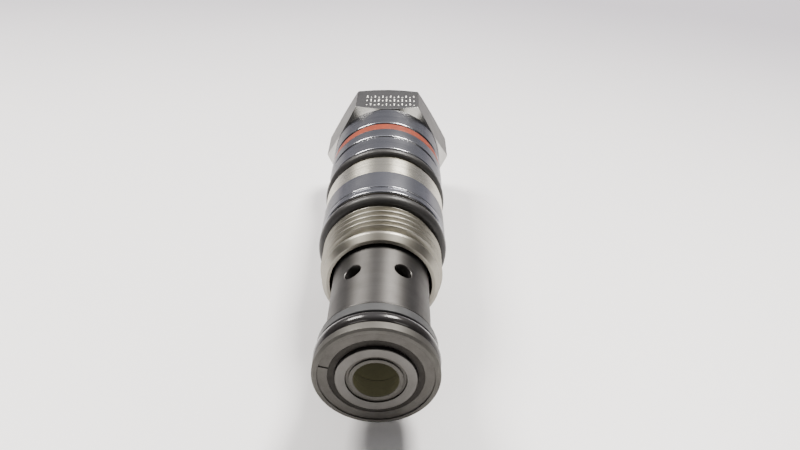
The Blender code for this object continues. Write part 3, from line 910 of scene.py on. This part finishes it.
SPOOL_START, SPOOL_END = span("compensator_spool")
SPOOL_R = reach("compensator_spool")
SPOOL_BORE_R = bore("compensator_spool")
SPOOL_GROOVE = (17.0, 21.8)
SPOOL_GROOVE_R = 6.9
SPOOL_PORT_R = 1.7
SPOOL_PORT_RIM = 0.05
OIL_GROOVES = (24.6, 27.2)
OIL_GROOVE_WIDTH = 0.5
OIL_GROOVE_DEPTH = 0.35
BOSS_R = 7.1
BOSS_END = 1.7
SEAT_R = 5.33
SEAT_END = 4.4
GUIDE_BORE_R = 6.65
GUIDE_BORE_START = 26.0


def make_spool():
    """The hollow spool with its port groove and two oil grooves."""
    outline = [
        (SPOOL_START, SEAT_R, 0.08),
        (SPOOL_START, BOSS_R - 0.1, 0.05),
        (SPOOL_START + 0.1, BOSS_R, 0.1),
        (BOSS_END, BOSS_R, 0.2),
        (BOSS_END, SPOOL_R - 0.15),
        (BOSS_END + 0.15, SPOOL_R, 0.1),
        (SPOOL_GROOVE[0], SPOOL_R, 0.05),
        (SPOOL_GROOVE[0], SPOOL_GROOVE_R),
        (SPOOL_GROOVE[1], SPOOL_GROOVE_R),
        (SPOOL_GROOVE[1], SPOOL_R, 0.05),
    ]
    floor_r = SPOOL_R - OIL_GROOVE_DEPTH
    for first in OIL_GROOVES:
        last = first + OIL_GROOVE_WIDTH
        outline += [(first, SPOOL_R), (first, floor_r), (last, floor_r), (last, SPOOL_R)]
    outline += [
        (SPOOL_END - 0.3, SPOOL_R, 0.1),
        (SPOOL_END, SPOOL_R - 0.3, 0.1),
        (SPOOL_END, GUIDE_BORE_R, 0.1),
        (GUIDE_BORE_START, GUIDE_BORE_R),
        (GUIDE_BORE_START, SPOOL_BORE_R, 0.2),
        (SPOOL_GROOVE[1], SPOOL_BORE_R),
        (SPOOL_GROOVE[0], SPOOL_BORE_R),
        (SEAT_END, SPOOL_BORE_R),
        (SEAT_END, SEAT_R),
    ]
    stretches = rounded(outline)
    for radius in (SPOOL_GROOVE_R, SPOOL_BORE_R):
        stretches = outside(stretches, *SPOOL_GROOVE, radius)
    shell = Shell()
    add_revolved(shell, stretches, even_angles(PORT_ANGLES[0]))
    add_drilled_band(shell, SPOOL_GROOVE_R, SPOOL_GROOVE, SPOOL_PORT_R + SPOOL_PORT_RIM, 1)
    add_drilled_band(shell, SPOOL_BORE_R, SPOOL_GROOVE, SPOOL_PORT_R, -1)
    add_hole_walls(shell, SPOOL_GROOVE_R, SPOOL_BORE_R, SPOOL_PORT_R, SPOOL_PORT_RIM, SPOOL_GROOVE)
    # The bore's inside faces take the painted glow.
    return shell.build("hollow_spool", [steel_honed, bore_painted_glow],
                       lambda station, radius: int(radius < SPOOL_BORE_R + FACE_MARGIN))


INSERT_LIP_R = 4.75
INSERT_LIP_DEPTH = 0.3
THROAT_END = 1.6


def make_insert():
    """The ring in the spool's mouth with the orifice through it."""
    start, end = span("orifice_insert")
    throat = bore("orifice_insert")
    outer = reach("orifice_insert")
    outline = [
        (start, throat, 0.15),
        (start, INSERT_LIP_R, 0.12),
        (start + INSERT_LIP_DEPTH, INSERT_LIP_R),
        (start + INSERT_LIP_DEPTH, outer),
        (end, outer),
        (end, SPOOL_BORE_R - 0.2),
        (THROAT_END, throat, 0.2),
    ]
    shell = Shell()
    add_revolved(shell, rounded(outline), even_angles())
    # The throat and the faces behind it take the painted glow.
    return shell.build("orifice_ring", [steel_dark, bore_painted_glow],
                       lambda station, radius: int(radius < throat + FACE_MARGIN or station > THROAT_END))


# ---------------------------------------------------------------- rings and spring

RING_LIP_R = 7.2
RING_LIP = (0.30, 0.8)
RING_FRONT_INNER_R = 8.35
RING_THICKNESS = 0.14
RING_GAP = 0.03
RING_FRONT = 0.17
RING_EDGE = 0.04
RING_END_ANGLE = math.radians(-76)
RING_TURNS = 63 / 32


def make_nose_ring():
    """A spiral retaining ring. Its front turn runs down from the end that shows on the left. A thinner
    lip inside the two turns reaches over the spool's shoulder and is coloured very dark as painted shade."""
    outer = reach("nose_retaining_ring")
    inner = RING_FRONT_INNER_R
    edge = RING_EDGE
    back = RING_THICKNESS
    frames = []
    for step in range(round(RING_TURNS * SEGMENTS) + 1):
        angle = RING_END_ANGLE - TURN * step / SEGMENTS
        centre = Vector((0, RING_FRONT + (RING_THICKNESS + RING_GAP) * step / SEGMENTS, 0))
        frames.append((centre, Vector(facing(angle, 0, 1)), Vector((0, 1, 0))))
    section = strip_section([
        (inner + edge, 0), (outer - edge, 0), (outer, edge), (outer, back - edge),
        (outer - edge, back), (inner + edge, back), (inner, back - edge), (inner, edge),
    ])
    shell = Shell()
    add_swept(shell, frames, section)
    first, last = RING_LIP
    lip_outer = inner - FACE_MARGIN
    lip = [(first, RING_LIP_R, 0.06), (first, lip_outer), (last, lip_outer), (last, RING_LIP_R, 0.06)]
    add_revolved(shell, rounded(lip), even_angles())
    # The lip inside the turns takes the painted shade.
    return shell.build("spiral_ring", [steel_ring, steel_painted_shade],
                       lambda station, radius: int(radius < inner - FACE_MARGIN / 2))


SPRING_TURNS = 13
SPRING_R = 5.45
WIRE_R = 0.9
WIRE_SIDES = 14
CLOSED_TURN_GAP = 0.15
SPRING_STEPS = 40


def make_spring():
    """A compression spring with one closed turn at each end."""
    low, high = span("main_spring")
    start, end = low + WIRE_R, high - WIRE_R
    closed_pitch = 2 * WIRE_R + CLOSED_TURN_GAP
    active_pitch = (end - start - 2 * closed_pitch) / (SPRING_TURNS - 2)
    frames = []
    for step in range(SPRING_TURNS * SPRING_STEPS + 1):
        turn = step / SPRING_STEPS
        closed = min(turn, 1.0) + max(turn - SPRING_TURNS + 1, 0.0)
        station = start + closed_pitch * closed + active_pitch * (turn - closed)
        out = Vector(facing(TURN * turn, 0, 1))
        frames.append((out * SPRING_R + Vector((0, station, 0)), out, Vector((0, 1, 0))))
    shell = Shell()
    add_swept(shell, frames, round_section(WIRE_R, WIRE_SIDES))
    return shell.build("coil_spring", [steel_spring])


def make_collar(name, node, bevel, material):
    """A plain ring with rounded outer edges, the size of its CAD node."""
    start, end = span(node)
    inner, outer = bore(node), reach(node)
    outline = [(start, inner), (start, outer, bevel), (end, outer, bevel), (end, inner)]
    return turned(name, outline, material)


# ---------------------------------------------------------------- pieces

BODY = "valve_body"
SPOOL = "spool"


def add_piece(piece, body, slot, *nodes):
    """Says which body moves a piece and hides the CAD nodes that it stands for. slot is not used."""
    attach(piece, body)
    if nodes:
        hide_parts(*nodes)


add_piece(make_hex_cap(), BODY, "zinc_plated_steel", "hex_cap")
add_piece(make_marks(), BODY, "zinc_plated_steel")
add_piece(make_body(), BODY, "zinc_plated_steel", "threaded_body")
add_piece(make_sleeve(), BODY, "ground_steel", "sleeve")
add_piece(make_nose_ring(), BODY, "spring_steel", "nose_retaining_ring")
add_piece(make_spool(), SPOOL, "honed_steel", "compensator_spool")
add_piece(make_insert(), SPOOL, "honed_steel", "orifice_insert")
O_RINGS = {
    "nose_o_ring": rubber_oiled,
    "body_o_ring": rubber_black,
    "cap_o_ring": rubber_black,
}
for node, rubber in O_RINGS.items():
    add_piece(o_ring_like(node + "_seal", node, rubber), BODY, "black_rubber", node)
collar = make_collar("backup_collar", "nose_backup_ring", 0.2, ptfe_black)
add_piece(collar, BODY, "black_ptfe", "nose_backup_ring")
band = make_collar("colour_band", "identification_band", 0.5, rubber_orange)
add_piece(band, BODY, "orange_rubber", "identification_band")

spring = make_spring()
add_piece(spring, BODY, "spring_steel", "main_spring")
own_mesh(spring)

INNER_PIECES = {
    "sleeve_o_ring": rubber_black,
    "cap_spigot_o_ring": rubber_black,
    "sleeve_backup_ring": ptfe_black,
    "sleeve_float_washer": steel_spring,
    "sleeve_retaining_ring": steel_spring,
    # The front guide, deep in the bore, takes the painted glow.
    "front_spring_guide": bore_painted_glow,
    "rear_spring_seat": steel_spring,
    "shim_thick": steel_spring,
    "shim_thin": steel_spring,
}
for node, material in INNER_PIECES.items():
    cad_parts[node].material_slots[0].material = material

# ---------------------------------------------------------------- floor and light


FLOOR_REACH = 2.5
FLOOR_NEAR_COLOUR = (0.90, 0.89, 0.90)
FLOOR_SHADED_COLOUR = (0.36, 0.345, 0.385)
FLOOR_FAR_Y = 0.34
FLOOR_RIGHT_SHARE = 0.5
FLOOR_CLOUD_SIZE = 60
FLOOR_CLOUD_SHARE = 0.04
FLOOR_ROUGHNESS = 0.45


def make_floor():
    """A wide floor under the hexagon, with painted shade that darkens it behind the valve and to its right.
    """
    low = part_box("hex_cap")[0].z
    mesh = bpy.data.meshes.new("floor")
    sides = ((-1, -1), (1, -1), (1, 1), (-1, 1))
    mesh.from_pydata([(x * FLOOR_REACH, y * FLOOR_REACH, low) for x, y in sides], [], [(0, 1, 2, 3)])
    floor = bpy.data.objects.new("floor", mesh)
    bpy.context.scene.collection.objects.link(floor)
    material, tree, shader = fresh_material("pale_floor")
    place = object_place(tree)
    parts = tree.nodes.new("ShaderNodeSeparateXYZ")
    tree.links.new(place, parts.inputs[0])
    # Painted shade: the floor's colour darkens behind the valve and to its right.
    rightward = math_node(tree, "MAXIMUM", parts.outputs["X"], 0.0)
    right = math_node(tree, "MULTIPLY", rightward, FLOOR_RIGHT_SHARE)
    behind = tree.nodes.new("ShaderNodeMapRange")
    behind.interpolation_type = "SMOOTHSTEP"
    behind.inputs["From Min"].default_value = 0.0
    behind.inputs["From Max"].default_value = FLOOR_FAR_Y
    tree.links.new(math_node(tree, "ADD", parts.outputs["Y"], right), behind.inputs["Value"])
    clouds = noise(tree, place, FLOOR_CLOUD_SIZE, detail=2)
    cloud = math_node(tree, "MULTIPLY", clouds, FLOOR_CLOUD_SHARE)
    tone = math_node(tree, "ADD", behind.outputs["Result"], cloud)
    colour = blend_colours(tree, tone, FLOOR_NEAR_COLOUR, FLOOR_SHADED_COLOUR)
    tree.links.new(colour, shader.inputs["Base Color"])
    shader.inputs["Roughness"].default_value = FLOOR_ROUGHNESS
    mesh.materials.append(material)


def add_panel(name, place, size, length, radiance, colour):
    """A soft rectangular light that looks at the valve from that place, its length along the valve."""
    data = bpy.data.lights.new(name, "AREA")
    data.shape = "RECTANGLE"
    data.size = size
    data.size_y = length
    data.energy = radiance * math.pi * size * length
    data.color = colour
    light = bpy.data.objects.new(name, data)
    bpy.context.scene.collection.objects.link(light)
    backward = Vector(place).normalized()
    across = Vector((0, 1, 0)).cross(backward).normalized()
    turn = Matrix((across, backward.cross(across), backward)).transposed().to_4x4()
    light.matrix_world = Matrix.Translation(place) @ turn


# The direction of the light from above, as its parts along the valve and upward.
TOP_AIM = (0.37, 0.93)
# How far a direction has to point towards a light for its strength to start and to finish changing.
BACK_RAMP = (0.40, 0.90)
HORIZON_RAMP = (0.0, 0.22)
TOP_RAMP = (0.75, 0.98)


def light_world(colour, front, back, top, horizon):
    """A room that is front bright all round and back bright low down behind the valve, with top added
    above and a little behind it, and horizon added where the floor ends."""
    world = bpy.data.worlds.new("room")
    world.use_nodes = True
    tree = world.node_tree
    parts = tree.nodes.new("ShaderNodeSeparateXYZ")
    tree.links.new(tree.nodes.new("ShaderNodeTexCoord").outputs["Generated"], parts.inputs[0])
    behind = math_node(tree, "MULTIPLY", parts.outputs["Y"], TOP_AIM[0])
    above = math_node(tree, "ADD", behind, math_node(tree, "MULTIPLY", parts.outputs["Z"], TOP_AIM[1]))

    def ramp(value, ends, low, high):
        node = tree.nodes.new("ShaderNodeMapRange")
        node.interpolation_type = "SMOOTHSTEP"
        node.inputs["From Min"].default_value = ends[0]
        node.inputs["From Max"].default_value = ends[1]
        node.inputs["To Min"].default_value = low
        node.inputs["To Max"].default_value = high
        tree.links.new(value, node.inputs["Value"])
        return node.outputs["Result"]

    from_behind = ramp(parts.outputs["Y"], BACK_RAMP, front, back)
    from_horizon = ramp(parts.outputs["Z"], HORIZON_RAMP, horizon, 0)
    from_above = ramp(above, TOP_RAMP, 0, top)
    sides = math_node(tree, "ADD", from_behind, from_horizon)
    strength = math_node(tree, "ADD", sides, from_above)
    background = tree.nodes["Background"]
    background.inputs["Color"].default_value = (*colour, 1)
    tree.links.new(strength, background.inputs["Strength"])
    bpy.context.scene.world = world


make_floor()
WARM = (1.0, 0.965, 0.91)
add_panel("left_strip", place=(-0.60, 0.40, 0.86), size=0.38, length=0.42, radiance=42, colour=WARM)
add_panel("right_strip", place=(0.36, 0.40, 0.86), size=0.29, length=0.42, radiance=62, colour=WARM)
add_panel("left_window", place=(-0.46, -0.76, 0.64), size=0.42, length=0.26, radiance=4, colour=WARM)
add_panel("right_window", place=(0.55, -0.72, 0.63), size=0.36, length=0.24, radiance=4, colour=WARM)
light_world(colour=(0.84, 0.83, 0.90), front=0.04, back=0.50, top=0.9, horizon=0.5)
